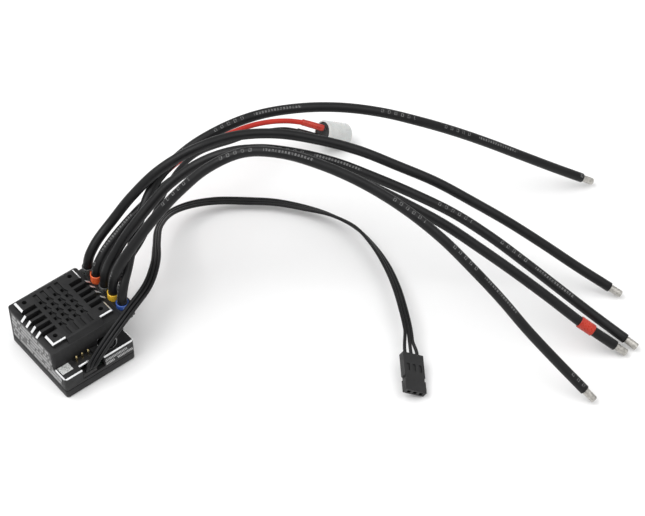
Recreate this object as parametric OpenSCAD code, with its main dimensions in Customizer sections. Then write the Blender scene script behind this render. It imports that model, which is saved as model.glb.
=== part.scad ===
// Electronic speed controller for a model car: a finned metal case with five power wires, a
// capacitor on its own pair of wires, a three core receiver lead and a set button.
// X runs across the case towards the power wires, Y towards its back and Z up.

/* [Case] */
// Width of the case, without the terminal block
case_w = 30.4; // [29.6:0.1:31.2]
// Length of the case
case_l = 36; // [35.6:0.1:36.4]
// Height of the lower shell
base_h = 4.2; // [3.9:0.1:4.5]
// Height of the front deck
deck_h = 10.6; // [10.4:0.1:10.9]
// Height of the shoulder round the heat sink
shoulder_h = 19; // [18.8:0.1:19.3]
// Height of the fan pads
top_h = 21; // [20.8:0.1:21.4]
// Wall thickness
wall = 1.6; // [1.4:0.1:1.7]

/* [Fan mount] */
// Distance between the fan screw holes
fan_pitch = 20; // [19.8:0.1:20.2]
// Diameter of a fan screw hole
fan_hole_d = 1.8; // [1.6:0.1:2]

/* [Power wires] */
// Outer diameter of a power wire
wire_d = 3.75; // [3.3:0.05:3.75]
// Diameter of a tinned wire end
tinned_d = 2.8; // [2:0.1:2.8]
// Length of a tinned wire end
tinned_l = 5; // [3.5:0.1:5]
// Distance between neighbouring solder posts
post_pitch = 5.4; // [5.3:0.1:5.4]

/* [Receiver lead] */
// Diameter of one core of the lead
core_d = 1.3; // [1.2:0.05:1.35]
// Length of the plug
plug_l = 15.8; // [14:0.1:16]
// Width of the plug
plug_w = 8.6; // [7.6:0.1:8.8]
// Thickness of the plug
plug_t = 2.7; // [2.5:0.1:2.8]

/* [Capacitor] */
// Diameter of the capacitor can
can_d = 10; // [9.8:0.1:10.2]
// Length of the capacitor can
can_l = 11; // [10.5:0.1:11.5]

/* [Hidden] */

$fn = 48;
tiny = 0.01;
cx = -3;                          // middle of the case across X
front_y = -case_l / 2;
back_y = case_l / 2;
left_x = cx - case_w / 2;
right_x = cx + case_w / 2;
corner_r = 1.2;
block_y = front_y + 6.5;          // front wall of the tall block
inner_w = case_w - 2 * wall;
inner_l = case_l - 2 * wall;
ceiling_z = 16.2;
room_y = -8.5;                    // front of the room inside the block
deck_t = 1.4;

// Boards inside the case
board_t = 1.2;
control_z = 5.2;
power_z = 12;
power_t = 1.6;
chip_t = 1;

// Fan pads, fins and grooves of the heat sink
fan_y = 4.1;
pad_half = 12.9;
pad_back = 16.4;
pad_front = -9;
pad_w = 5.6;
pad_l = 5.3;
edge_c = 0.45;                    // bright chamfer on pads, fins and deck
fin_pitch = 3.2;
fin_first = 8.5;
fin_t = 1.1;
slot_in = 7.5;
slot_floor = 17.4;
groove_x = [-5.2, -2.1, 1.05, 4.2];
groove_w = 1.6;
row_first = 10.8;

// Screws that hold the shells together
screw_x = 12.9;
screw_y = 15.6;
screw_r = 1;
screw_top = 8.6;
boss_r = 2.1;

// Set button in a round well that also cuts the foot of the block's front wall
button_pos = [cx + 7, -12.4];
well_r = 3.4;
well_top = 13;
button_r = 2.8;
button_top = 10.3;
flange_r = 3.8;

// Terminal block and solder posts
post_x = 15;
post_y = [for (i = [0:4]) 13.6 - i * post_pitch];
post_top = 17.56;
post_r = 1.7;
cup_r = 1.3;
cup_floor = 14.6;
collar_r = 2.4;
collar_in = 1.93;
collar_tops = [21.6, 22, 20.8, 21.4, 20.6];
block_out = 18.3;

// Fan port: three pins beside the block wall
fan_port = [cx - 3.9, -12.6];
pin_pitch = 2.54;
pin_t = 0.64;
header_t = 2;

// Power wires: out of the posts straight up, over in one arc and down to the table
wire_negative_path = [
    [15, 13.6, 17.6], [15, 13.6, 20.5], [15.5, 13.8, 23.8], [17.2, 14.2, 26.8], [21.5, 15.2, 30.2],
    [28.5, 15.8, 34.6], [37, 14.2, 43.4], [47.5, 10.8, 53], [60.5, 6, 59.5], [75, 1, 61],
    [88.5, -7, 60], [100.5, -16.5, 56.5], [111.5, -27, 52], [121, -38, 46.5], [130.5, -49, 40.5],
    [139, -60.5, 33.5], [147, -72, 26.5], [154.5, -83.5, 19], [162, -95.5, 11], [169, -107, 4.2]
];
wire_phase_a_path = [
    [15, 8.2, 17.6], [15, 8.2, 20.5], [15.5, 8.4, 23.8], [17.4, 8.9, 26.5], [22, 10, 29.8],
    [30, 11.5, 33.2], [40.5, 11.5, 38.8], [53, 9.5, 45.5], [67.5, 5, 51], [80.5, -2.5, 53.5],
    [92, -13, 52.5], [102.5, -24.5, 49.5], [111.5, -37, 45.5], [120, -49.5, 41], [128, -62.5, 36],
    [134.5, -75.5, 30], [140, -88.5, 23.5], [145.5, -102, 16.5], [151, -115, 9.5], [156, -128.5, 3.8]
];
wire_positive_path = [
    [15, 2.8, 17.6], [15, 2.8, 20.5], [15.5, 3, 24.5], [17.5, 3, 29], [21, 3, 33.5],
    [26, 3, 39], [34, 2.5, 46], [45.5, 1.5, 54.5], [58.5, -3, 62], [71, -11, 66],
    [82, -22, 65], [91.5, -34, 61.5], [100, -46, 56.5], [108.5, -58, 50.5], [116.5, -70, 44],
    [123.5, -81.5, 36.5], [130.5, -93.5, 28.5], [137, -105.5, 20.5], [143.5, -117.5, 12],
    [150.5, -128.5, 4.2]
];
wire_phase_b_path = [
    [15, -2.6, 17.6], [15, -2.6, 20.5], [15, -3, 26], [16.5, -3.5, 31.5], [20.5, -4, 37.5],
    [27, -4.5, 44], [35, -5.5, 51.5], [44, -7.5, 59.5], [54.5, -11, 67.5], [66, -17.5, 73],
    [76, -28, 74], [85, -40.5, 71.5], [93, -53.5, 67], [100, -66.5, 60.5], [105.5, -79.5, 53],
    [110, -91.5, 44], [114.5, -102.5, 34], [118.5, -113.5, 23.5], [123, -124.5, 13.5], [127, -136.5, 4.8]
];
wire_phase_c_path = [
    [15, -8, 17.6], [15, -8, 20.5], [15.6, -7.6, 24], [17.8, -6, 27.2], [22, -3, 30.6],
    [27, 1, 34.2], [34.5, 6, 39.5], [46.5, 12, 46.4], [61, 13, 52.5], [76, 11, 56],
    [90.5, 6.5, 58], [105, 0, 57.5], [119, -7, 54.5], [132, -15, 50], [144, -23, 44],
    [156, -30, 36.5], [167.5, -37, 28.5], [178.5, -44.5, 20.5], [189.5, -52, 12.5], [200.5, -59.5, 4.8]
];

// Capacitor and its two wires
can_face = [133.5, 21, 10.2];     // middle of the wired end
can_turn = -14;                   // heading of the can across the table
can_tilt = 31;                    // how far the wired end is lifted
sleeve_t = 0.2;
shrink_r = 1.4;
shrink_l = 9.5;
lug_gap = 4.6;                    // between the capacitor's two leads
lug_l = 0.9;                      // bare lead between the bung and the shrink sleeve
cap_wire_d = 2.1;
cap_wire_red_path = [
    [18.3, 11, 14.8], [21, 11.2, 15.2], [24.5, 12.8, 17], [28.5, 16, 19.6], [33.5, 19.8, 21.6],
    [39.5, 23, 22], [48, 26, 21], [57, 30, 22], [66, 33, 23], [76, 34.5, 23.5],
    [86.5, 35, 23], [96.5, 34.5, 22.5], [106.5, 33.5, 21.5], [115, 31.5, 20], [122, 29, 18],
    [127.5, 26, 16]
];
cap_wire_black_path = [
    [18.3, 5.5, 14.8], [21, 5.5, 15.4], [25, 6, 18], [30, 7, 21.6], [36, 8.5, 25],
    [43, 11.5, 28.5], [51, 16, 31], [59.5, 21, 32], [68, 25, 31.5], [77, 28, 29.5],
    [86, 30, 25.8], [95, 30.6, 22.6], [104, 31, 20], [112.5, 30, 17.5], [119.5, 28, 15.5],
    [125, 26, 12.5]
];

// Receiver lead: out of the front notch, over the deck and down to the plug, with the
// direction that its three cores lie side by side at each point
lead_path = [
    [-7.4, -16.9, 7.4], [-7, -17.4, 8.8], [-5.6, -17.5, 10.4], [-3.2, -17.1, 12.2], [0.5, -16.4, 14.6],
    [6.5, -15.2, 17.8], [15.5, -12.5, 20.4], [26.5, -8, 21.5], [35.5, -0.5, 21], [42.5, 8.5, 18.5],
    [49.5, 17, 15.5], [59, 23.5, 11.5], [69.5, 25, 8], [80.5, 22.5, 5], [90.5, 16, 3.5],
    [99, 8, 3.5], [106, -1.5, 3.5], [111, -12, 4.5], [113.5, -23.5, 5.5], [112.5, -35, 6],
    [109.5, -46.5, 6.5], [105, -57.5, 7], [100, -67, 7.2], [95.2, -75.2, 7.2], [91.2, -81, 6.8],
    [88.3, -85.2, 6]
];
lead_flat = [
    [1, 0, 0], [1, 0, 0], [0.8, -0.5, -0.2], [0.6, -0.7, -0.3], [0.4, -0.8, -0.4],
    [0.3, -0.9, -0.4], [0.3, -0.9, -0.4], [0.4, -0.8, -0.3], [0.5, -0.7, 0.2], [0.5, -0.5, 0.6],
    [0.4, -0.6, 0.6], [0.2, -0.9, 0.3], [-0.2, -0.9, 0.1], [-0.4, -0.9, 0], [-0.6, -0.7, 0],
    [-0.7, -0.6, 0.1], [-0.7, -0.6, 0.3], [-0.5, -0.4, 0.7], [-0.4, -0.3, 0.8], [-0.6, 0, 0.7],
    [-0.8, 0.2, 0.5], [-0.8, 0.4, 0.4], [-0.8, 0.5, 0.4], [-0.8, 0.5, 0.4], [-0.8, 0.5, 0.45],
    [-0.8, 0.5, 0.45]
];
plug_turn = -126;                 // heading of the plug across the table
plug_tilt = 8;                    // how far its wired end is lifted
plug_roll = -28;                  // how far it is rolled towards its right edge

// Swept tubes ---------------------------------------------------------------------------

// A smooth curve through the points of a path, with a number of steps in each stretch, and
// the same for a list of directions
function unit(v) = v / norm(v);
function point_before(p, i) = i > 0 ? p[i - 1] : 2 * p[0] - p[1];
function point_after(p, i) = i + 2 < len(p) ? p[i + 2] : 2 * p[len(p) - 1] - p[len(p) - 2];
function slope(a, b, c, d) = (c - a) / (norm(b - a) + norm(c - b)) * d;
function stretch(p, i, t) =
    let (
        a = p[i],
        b = p[i + 1],
        d = norm(b - a),
        m = slope(point_before(p, i), a, b, d),
        n = slope(a, b, point_after(p, i), d)
    )
    (2 * t ^ 3 - 3 * t ^ 2 + 1) * a + (t ^ 3 - 2 * t ^ 2 + t) * m
    + (3 * t ^ 2 - 2 * t ^ 3) * b + (t ^ 3 - t ^ 2) * n;
function smooth_path(p, steps) = concat(
    [for (i = [0:len(p) - 2], s = [0:steps - 1]) stretch(p, i, s / steps)],
    [p[len(p) - 1]]
);
function blended(p, steps) = concat(
    [for (i = [0:len(p) - 2], s = [0:steps - 1]) p[i] + (p[i + 1] - p[i]) * s / steps],
    [p[len(p) - 1]]
);
function direction(p, i) =
    i == 0 ? unit(p[1] - p[0]) :
    i == len(p) - 1 ? unit(p[i] - p[i - 1]) :
    unit(unit(p[i + 1] - p[i]) + unit(p[i] - p[i - 1]));

// Rings of an outline set square to the path, and the solid between them
function ring(centre, dir, flat, outline) =
    let (side = unit(flat - (flat * dir) * dir), up = cross(dir, side))
    [for (q = outline) centre + q[0] * side + q[1] * up];
module swept(path, flats, outline) {
    n = len(outline);
    rings = len(path);
    points = [for (i = [0:rings - 1]) each ring(path[i], direction(path, i), flats[i], outline)];
    sides = [
        for (i = [0:rings - 2], j = [0:n - 1])
            let (k = (j + 1) % n)
            each [[i * n + j, i * n + k, i * n + n + k], [i * n + j, i * n + n + k, i * n + n + j]]
    ];
    start = [for (j = [n - 1:-1:0]) j];
    end = [for (j = [0:n - 1]) (rings - 1) * n + j];
    polyhedron(points, concat([start], sides, [end]), convexity = 8);
}
module tube(path, d) {
    centres = smooth_path(path, 2);
    swept(
        centres,
        [for (c = centres) [0.63, 0.77, 0.03]],
        [for (a = [22.5:45:359]) d / 2 * [cos(a), sin(a)]]
    );
}

// A child drawn along +X is moved to a point and turned to a heading and a downward tilt
module aimed(pos, turn, tilt) {
    translate(pos) rotate([0, tilt, turn]) children();
}
function heading(v) = atan2(v[1], v[0]);
function dip(v) = -asin(v[2] / norm(v));

// Plain shapes ----------------------------------------------------------------------------

module rounded_plate(w, l, r, h) {
    linear_extrude(h) {
        square([w - 2 * r, l], center = true);
        square([w, l - 2 * r], center = true);
        for (x = [-1, 1], y = [-1, 1])
            translate([x * (w / 2 - r), y * (l / 2 - r)]) circle(r);
    }
}
module centred_box(size) {
    translate([-size[0] / 2, -size[1] / 2, 0]) cube(size);
}
// An outline drawn in X and Z, made long in Y
module along_y(from, to, outline) {
    translate([0, to, 0]) rotate([90, 0, 0]) linear_extrude(to - from) polygon(outline);
}
// An outline drawn in Y and Z, made long in X
module along_x(from, to, outline) {
    translate([from, 0, 0]) rotate([90, 0, 90]) linear_extrude(to - from) polygon(outline);
}
module at_screws() {
    for (x = [-1, 1], y = [-1, 1])
        translate([cx + x * screw_x, y * screw_y, 0]) children();
}

// Lower shell -------------------------------------------------------------------------------

module bottom_case() {
    floor_t = 1.3;
    seam = 0.3;
    standoff = [10, 11];
    color([0.16, 0.16, 0.17])
        difference() {
            union() {
                translate([cx, 0, 0.5]) rounded_plate(case_w, case_l, corner_r, base_h - seam - 0.5);
                translate([cx, 0, 0]) rounded_plate(case_w - 0.8, case_l - 0.8, corner_r - 0.4, base_h);
            }
            difference() {
                translate([cx, 0, floor_t]) rounded_plate(inner_w, inner_l, 1, base_h);
                at_screws() cylinder(h = base_h, r = boss_r);
            }
            at_screws() {
                translate([0, 0, -tiny]) cylinder(h = base_h + 1, r = screw_r);
                translate([0, 0, -tiny]) cylinder(h = 1.2, r1 = 1.8, r2 = screw_r);
            }
        }
    color([0.16, 0.16, 0.17])
        for (x = [-1, 1], y = [-1, 1])
            translate([cx + x * standoff[0], y * standoff[1], floor_t - tiny])
                cylinder(h = control_z - floor_t + tiny, r = 1.5);
}

module case_screws() {
    color([0.7, 0.7, 0.72])
        at_screws()
            difference() {
                union() {
                    cylinder(h = 1.18, r1 = 1.78, r2 = screw_r);
                    cylinder(h = screw_top, r = screw_r);
                }
                translate([0, 0, -tiny]) cylinder(h = 0.7, r = 0.6, $fn = 6);
            }
}

// Upper shell with its heat sink ------------------------------------------------------------

module deck_solid() {
    x0 = left_x;
    x1 = right_x;
    c = edge_c;
    intersection() {
        translate([cx, 0, base_h]) rounded_plate(case_w, case_l, corner_r, deck_h - base_h);
        along_y(front_y, block_y + 1, [
            [x0, base_h], [x1, base_h], [x1, deck_h - c],
            [x1 - c, deck_h], [x0 + c, deck_h], [x0, deck_h - c]
        ]);
        along_x(x0, x1, [
            [front_y, base_h], [block_y + 1, base_h], [block_y + 1, deck_h],
            [front_y + c, deck_h], [front_y, deck_h - c]
        ]);
    }
}
module block_solid() {
    r = 1.2;
    difference() {
        translate([cx, 0, base_h]) rounded_plate(case_w, case_l, corner_r, shoulder_h - base_h);
        translate([left_x - 1, front_y - 1, deck_h - 1]) cube([case_w + 2, block_y - front_y + 1, 20]);
        translate([left_x - 1, front_y - 1, 0]) cube([case_w + 2, block_y - front_y + 1, 20]);
        for (side = [-1, 1])
            translate([cx + side * (case_w / 2), block_y, deck_h])
                difference() {
                    centred_box([2 * r, 2 * r, 20]);
                    translate([-side * r, r, -1]) cylinder(h = 22, r = r);
                }
    }
}
// Centre part of the heat sink, sloping down at the front
module centre_tongue() {
    along_x(cx - slot_in, cx + slot_in, [
        [pad_back, shoulder_h - 1], [pad_back, top_h - 0.4], [pad_back - 0.4, top_h],
        [block_y + 1.6, top_h], [block_y, shoulder_h - 0.7], [block_y, shoulder_h - 1]
    ]);
}
module fan_pad(side, end) {
    c = edge_c;
    x_in = cx + side * (pad_half - pad_w);
    x_out = cx + side * pad_half;
    y_out = end > 0 ? pad_back : pad_front;
    y_in = y_out - end * pad_l;
    z0 = shoulder_h - 1;
    intersection() {
        along_y(min(y_in, y_out), max(y_in, y_out), [
            [x_in, z0], [x_out + side * c * 0.6, z0], [x_out + side * c * 0.6, top_h - 1.6 * c],
            [x_out - side * c, top_h], [x_in, top_h]
        ]);
        along_x(min(x_in, x_out) - 1, max(x_in, x_out) + 1, [
            [y_in, z0], [y_out, z0], [y_out, top_h - c], [y_out - end * c, top_h], [y_in, top_h]
        ]);
    }
}
module side_fins() {
    for (side = [-1, 1], i = [0:3]) {
        y = fin_first - i * fin_pitch;
        x_top = cx + side * (pad_half + 0.3);
        along_y(y - fin_t / 2, y + fin_t / 2, [
            [cx + side * (slot_in - 1), slot_floor - 1], [x_top, slot_floor - 1],
            [cx + side * (case_w / 2), shoulder_h - 1], [cx + side * (case_w / 2), shoulder_h],
            [x_top, top_h], [cx + side * (slot_in - 1), top_h]
        ]);
    }
}
module side_slots() {
    r = (fin_pitch - fin_t) / 2;
    for (side = [-1, 1], i = [0:4]) {
        y = fin_first + fin_pitch / 2 - i * fin_pitch;
        translate([cx + side * (slot_in + r), y, slot_floor]) cylinder(h = 5, r = r);
        translate([cx + side * (slot_in + r + (pad_half - slot_in - r) / 2), y, slot_floor])
            centred_box([pad_half - slot_in - r, 2 * r, 5]);
    }
}
// Broad grooves with a deep pocket in each row, where the air passes down, and a bite out of
// the rib beside it
module groove_cuts() {
    for (x = groove_x) {
        translate([cx + x, (pad_back + block_y) / 2 + 0.6, top_h - 0.8]) centred_box([groove_w, 23.6, 2]);
        for (i = [0:4]) {
            y = row_first - i * fin_pitch;
            translate([cx + x, y, top_h - 3.2]) centred_box([1.2, 1.5, 4]);
            translate([cx + x + groove_w / 2, y - fin_pitch / 2, top_h - 0.8])
                rotate([0, 0, 20]) centred_box([0.9, 1.7, 3]);
        }
    }
}
module case_cavity() {
    // Under the deck and, higher up, under the block
    difference() {
        union() {
            translate([cx, 0, base_h - tiny])
                rounded_plate(inner_w, inner_l, 1, deck_h - deck_t - base_h);
            translate([cx - inner_w / 2, room_y, base_h])
                cube([inner_w, back_y - wall - room_y, ceiling_z - base_h]);
        }
        at_screws() cylinder(h = 30, r = boss_r);
    }
    at_screws() cylinder(h = screw_top, r = screw_r);
    // Way out for the board that carries the solder posts
    translate([right_x - 2 * wall, post_y[4] - 2.1, power_z - 0.2])
        cube([3 * wall, post_y[0] - post_y[4] + 4.6, power_t + 0.4]);
}
module deck_cuts() {
    notch_x = [cx - 7.6, cx + 2];
    notch_y = front_y + 2.2;
    notch_z = 5.6;
    translate([notch_x[0], front_y - 1, notch_z])
        cube([notch_x[1] - notch_x[0], notch_y - front_y + 1, 10]);
    // Bright chamfer round the notch
    along_x(notch_x[0], notch_x[1], [
        [notch_y - 1, deck_h + 1], [notch_y - 1, deck_h - edge_c - 1 + 0.2], [notch_y, deck_h - edge_c],
        [notch_y + edge_c + 1, deck_h + 1]
    ]);
    // Well of the fan port
    translate([fan_port[0], fan_port[1], deck_h - 3])
        centred_box([3 * pin_pitch + 0.2, header_t + 0.2, 4]);
    // Well of the set button, with a bright rim on the deck
    translate([button_pos[0], button_pos[1], 0]) {
        translate([0, 0, deck_h - deck_t - 1]) cylinder(h = well_top - deck_h + deck_t + 1, r = well_r);
        translate([0, 0, deck_h - 0.45]) cylinder(h = 0.45 + tiny, r1 = well_r, r2 = well_r + 0.45);
    }
}
module top_case() {
    color([0.13, 0.13, 0.14])
        difference() {
            union() {
                difference() {
                    union() {
                        deck_solid();
                        block_solid();
                        centre_tongue();
                        for (side = [-1, 1], end = [-1, 1]) fan_pad(side, end);
                    }
                    side_slots();
                    groove_cuts();
                }
                side_fins();
            }
            case_cavity();
            deck_cuts();
            for (x = [-1, 1], y = [-1, 1])
                translate([cx + x * fan_pitch / 2, fan_y + y * fan_pitch / 2, top_h - 4.5])
                    cylinder(h = 6, r = fan_hole_d / 2);
        }
}

// Electronics -------------------------------------------------------------------------------

module control_board() {
    color([0.05, 0.3, 0.15])
        difference() {
            translate([cx, 0, control_z]) rounded_plate(inner_w - 0.4, inner_l - 0.4, 1, board_t);
            at_screws() cylinder(h = 20, r = boss_r + 0.2);
        }
}
module at_spacers() {
    for (x = [-10.5, 9.5], y = [-7, 12.5])
        translate([cx + x, y, 0]) children();
}
module board_spacers() {
    color([0.8, 0.65, 0.3])
        at_spacers()
            translate([0, 0, control_z + board_t])
                cylinder(h = power_z - control_z - board_t, r = 1.2);
}
module power_board() {
    board_w = block_out - 0.6 - (cx - inner_w / 2 + 0.2);
    front = room_y + 0.2;
    back = back_y - wall - 0.6;
    tab_w = block_out - 0.6 - right_x + 0.2;
    color([0.05, 0.3, 0.15])
        difference() {
            union() {
                translate([cx - inner_w / 2 + 0.2, front, power_z])
                    cube([board_w, back - front, power_t]);
                translate([block_out - 0.6 - tab_w, post_y[4] - 2, power_z]) cube([tab_w, 4, power_t]);
            }
            at_screws() cylinder(h = 20, r = boss_r + 0.2);
        }
}
module microcontroller() {
    color([0.1, 0.1, 0.1])
        translate([cx - 4, 4, control_z + board_t]) centred_box([7, 7, chip_t]);
}
module gate_drivers() {
    color([0.1, 0.1, 0.1])
        for (y = [-4, 2, 8]) translate([cx + 5, y, control_z + board_t]) centred_box([4, 4, chip_t]);
}
module regulator_coil() {
    color([0.25, 0.25, 0.27])
        translate([cx - 8, -2.5, control_z + board_t]) {
            centred_box([5, 5, 2.6]);
            translate([0, 0, 2.6]) cylinder(h = 0.4, r = 2);
        }
}
module mosfets() {
    color([0.1, 0.1, 0.1])
        for (x = [-9.9, -3.3, 3.3, 9.9], y = [-4.8, 2.4, 9.6])
            translate([cx + x, y, power_z + power_t]) centred_box([5, 6, chip_t]);
}
module thermal_pad() {
    z = power_z + power_t + chip_t;
    color([0.55, 0.6, 0.75])
        translate([cx, 2.5, z]) centred_box([25, 21, ceiling_z - z]);
}
module at_link_pins() {
    for (i = [0:7]) translate([cx - 9 + i * 2, 15, 0]) children();
}
module link_header() {
    color([0.08, 0.08, 0.08])
        difference() {
            translate([cx - 2, 15, control_z + board_t]) centred_box([16.4, 2, 2]);
            at_link_pins() centred_box([0.6, 0.6, 20]);
        }
}
module link_pins() {
    color([0.85, 0.7, 0.3])
        at_link_pins()
            translate([0, 0, control_z + board_t])
                centred_box([0.6, 0.6, power_z - control_z - board_t]);
}

// Fan port, set button and labels --------------------------------------------------------------

module at_fan_pins() {
    for (i = [-1:1]) translate([fan_port[0] + i * pin_pitch, fan_port[1], 0]) children();
}
module fan_header() {
    z = control_z + board_t;
    color([0.08, 0.08, 0.08])
        difference() {
            translate([fan_port[0], fan_port[1], z])
                centred_box([3 * pin_pitch, header_t, deck_h - 0.6 - z]);
            at_fan_pins() centred_box([pin_t, pin_t, 30]);
        }
}
module fan_pins() {
    tip = 0.5;
    pin_top = 12.9;
    z = control_z + board_t;
    color([0.9, 0.75, 0.35])
        at_fan_pins() {
            translate([0, 0, z]) centred_box([pin_t, pin_t, pin_top - tip - z]);
            translate([0, 0, pin_top - tip]) cylinder(h = tip, r1 = pin_t / 2, r2 = pin_t / 4);
        }
}
module set_switch() {
    z = control_z + board_t;
    color([0.2, 0.2, 0.2])
        translate([button_pos[0], button_pos[1], z]) {
            centred_box([4.5, 3.6, 1.5]);
            cylinder(h = 1.8, r = 1);
        }
}
module set_button() {
    foot_z = 8.65;
    color([0.12, 0.12, 0.12])
        translate([button_pos[0], button_pos[1], 0]) {
            translate([0, 0, foot_z]) cylinder(h = button_top - foot_z, r = button_r);
            translate([0, 0, foot_z]) cylinder(h = 0.4, r = flange_r);
        }
}
module lead_grommet() {
    z = control_z + board_t;
    top = lead_path[0][2];
    w = 6;
    color([0.1, 0.1, 0.1])
        translate([lead_path[0][0] - w / 2, 0, 0]) {
            translate([0, front_y + 0.2, z]) cube([w, 3.4, top - z]);
            translate([0, front_y + 0.2, z - 0.8]) cube([w, 1.3, 1]);
        }
}
module deck_label() {
    color([0.72, 0.73, 0.72])
        translate([cx - 12, -13.5, deck_h]) centred_box([4.6, 3.6, 0.12]);
}
module side_label() {
    t = 0.1;
    z0 = 5.4;
    color([0.6, 0.61, 0.61])
        translate([left_x - t, 0, 0])
            rotate([90, 0, 90]) linear_extrude(t) polygon([
                [front_y + 2.4, z0], [back_y - 2.4, z0], [back_y - 2.4, shoulder_h - 0.8],
                [block_y + 1.6, shoulder_h - 0.8], [block_y + 1.6, deck_h - edge_c - 0.4],
                [front_y + 2.4, deck_h - edge_c - 0.4]
            ]);
}

// Terminal block, posts and collars --------------------------------------------------------------

module at_posts() {
    for (y = post_y) translate([post_x, y, 0]) children();
}
module terminal_block() {
    z = power_z + power_t;
    x0 = right_x + 0.15;
    y0 = post_y[4] - collar_r - 0.3;
    y1 = post_y[0] + collar_r + 0.3;
    color([0.1, 0.1, 0.1])
        difference() {
            union() {
                translate([x0, y0, z]) cube([block_out - x0, y1 - y0, 5]);
                translate([block_out - 0.6, y0, z]) cube([0.6, y1 - y0, 6]);
            }
            at_posts() translate([0, 0, z - 1]) cylinder(h = 10, r = collar_r);
        }
}
module solder_posts() {
    z = power_z + power_t;
    color([0.75, 0.72, 0.65])
        at_posts()
            difference() {
                translate([0, 0, z]) cylinder(h = post_top - z, r = post_r);
                translate([0, 0, cup_floor]) cylinder(h = 5, r = cup_r);
            }
}
module solder_fill() {
    color([0.75, 0.75, 0.76])
        at_posts() translate([0, 0, cup_floor]) cylinder(h = post_top - cup_floor, r = cup_r);
}
// A sleeve round the post and the foot of the wire
module collar(i) {
    z = power_z + power_t;
    translate([post_x, post_y[i], 0])
        difference() {
            translate([0, 0, z]) cylinder(h = collar_tops[i] - z, r = collar_r);
            translate([0, 0, z - 1]) cylinder(h = 20, r = collar_in);
        }
}
module collar_negative() { color([0.8, 0.82, 0.82]) collar(0); }
module collar_phase_a() { color([0.88, 0.37, 0.2]) collar(1); }
module collar_positive() { color([0.8, 0.82, 0.82]) collar(2); }
module collar_phase_b() { color([0.88, 0.72, 0.16]) collar(3); }
module collar_phase_c() { color([0.24, 0.36, 0.7]) collar(4); }

// Power wires -----------------------------------------------------------------------------------

wire_paths = [
    wire_negative_path, wire_phase_a_path, wire_positive_path, wire_phase_b_path, wire_phase_c_path
];
module power_wire(i) { color([0.12, 0.12, 0.13]) tube(wire_paths[i], wire_d); }
module wire_negative() { power_wire(0); }
module wire_phase_a() { power_wire(1); }
module wire_positive() { power_wire(2); }
module wire_phase_b() { power_wire(3); }
module wire_phase_c() { power_wire(4); }
module tinned_end(i) {
    p = smooth_path(wire_paths[i], 2);
    end = p[len(p) - 1];
    v = end - p[len(p) - 2];
    tip = 0.4;
    color([0.8, 0.8, 0.78])
        aimed(end, heading(v), dip(v)) rotate([0, 90, 0]) {
            cylinder(h = tinned_l - tip, r = tinned_d / 2);
            translate([0, 0, tinned_l - tip])
                cylinder(h = tip, r1 = tinned_d / 2, r2 = tinned_d / 2 - 0.3);
        }
}
module tinned_negative() { tinned_end(0); }
module tinned_phase_a() { tinned_end(1); }
module tinned_positive() { tinned_end(2); }
module tinned_phase_b() { tinned_end(3); }
module tinned_phase_c() { tinned_end(4); }
// Red shrink sleeve near the end of the positive wire
module polarity_band() {
    p = wire_positive_path;
    a = p[len(p) - 2];
    b = p[len(p) - 1];
    band_l = 6.2;
    color([0.8, 0.2, 0.16])
        aimed(a + 0.1 * (b - a), heading(b - a), dip(b - a))
            translate([-band_l / 2, 0, 0]) rotate([0, 90, 0])
                difference() {
                    cylinder(h = band_l, r = wire_d / 2 + 0.4);
                    translate([0, 0, -1]) cylinder(h = band_l + 2, r = wire_d / 2);
                }
}

// Capacitor -------------------------------------------------------------------------------------

module at_can() {
    aimed(can_face, can_turn, can_tilt) rotate([0, 90, 0]) children();
}
module capacitor_can() {
    color([0.75, 0.76, 0.78])
        at_can() translate([0, 0, 1]) cylinder(h = can_l - 1, r = can_d / 2);
}
module capacitor_sleeve() {
    r = can_d / 2 + sleeve_t;
    color([0.82, 0.82, 0.8])
        at_can() difference() {
            translate([0, 0, -0.4]) cylinder(h = can_l + 0.4 + sleeve_t, r = r);
            translate([0, 0, -1]) cylinder(h = can_l + 1, r = can_d / 2);
            cylinder(h = 2 * can_l, r = can_d / 2 - 0.9);
        }
}
module capacitor_bung() {
    color([0.12, 0.12, 0.12]) at_can() cylinder(h = 1, r = can_d / 2);
}
// Where each shrink sleeve begins, a little off the capacitor's face
function can_axis() = [cos(can_tilt) * cos(can_turn), cos(can_tilt) * sin(can_turn), -sin(can_tilt)];
function can_up() = [sin(can_tilt) * cos(can_turn), sin(can_tilt) * sin(can_turn), cos(can_tilt)];
function lug(side) = can_face + side * lug_gap / 2 * can_up() - lug_l * can_axis();
module capacitor_leads() {
    color([0.8, 0.8, 0.78])
        at_can()
            for (side = [-1, 1])
                translate([-side * lug_gap / 2, 0, -lug_l]) cylinder(h = lug_l, r = 0.35);
}
module shrink(start, path) {
    v = path[len(path) - 1] - start;
    aimed(start, heading(v), dip(v)) rotate([0, 90, 0]) cylinder(h = norm(v) + 0.5, r = shrink_r);
}
module shrink_red() { color([0.8, 0.22, 0.18]) shrink(lug(1), cap_wire_red_path); }
module shrink_black() { color([0.12, 0.12, 0.13]) shrink(lug(-1), cap_wire_black_path); }
module capacitor_wire_red() { color([0.8, 0.2, 0.17]) tube(cap_wire_red_path, cap_wire_d); }
module capacitor_wire_black() { color([0.12, 0.12, 0.13]) tube(cap_wire_black_path, cap_wire_d); }

// Receiver lead -----------------------------------------------------------------------------------

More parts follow.
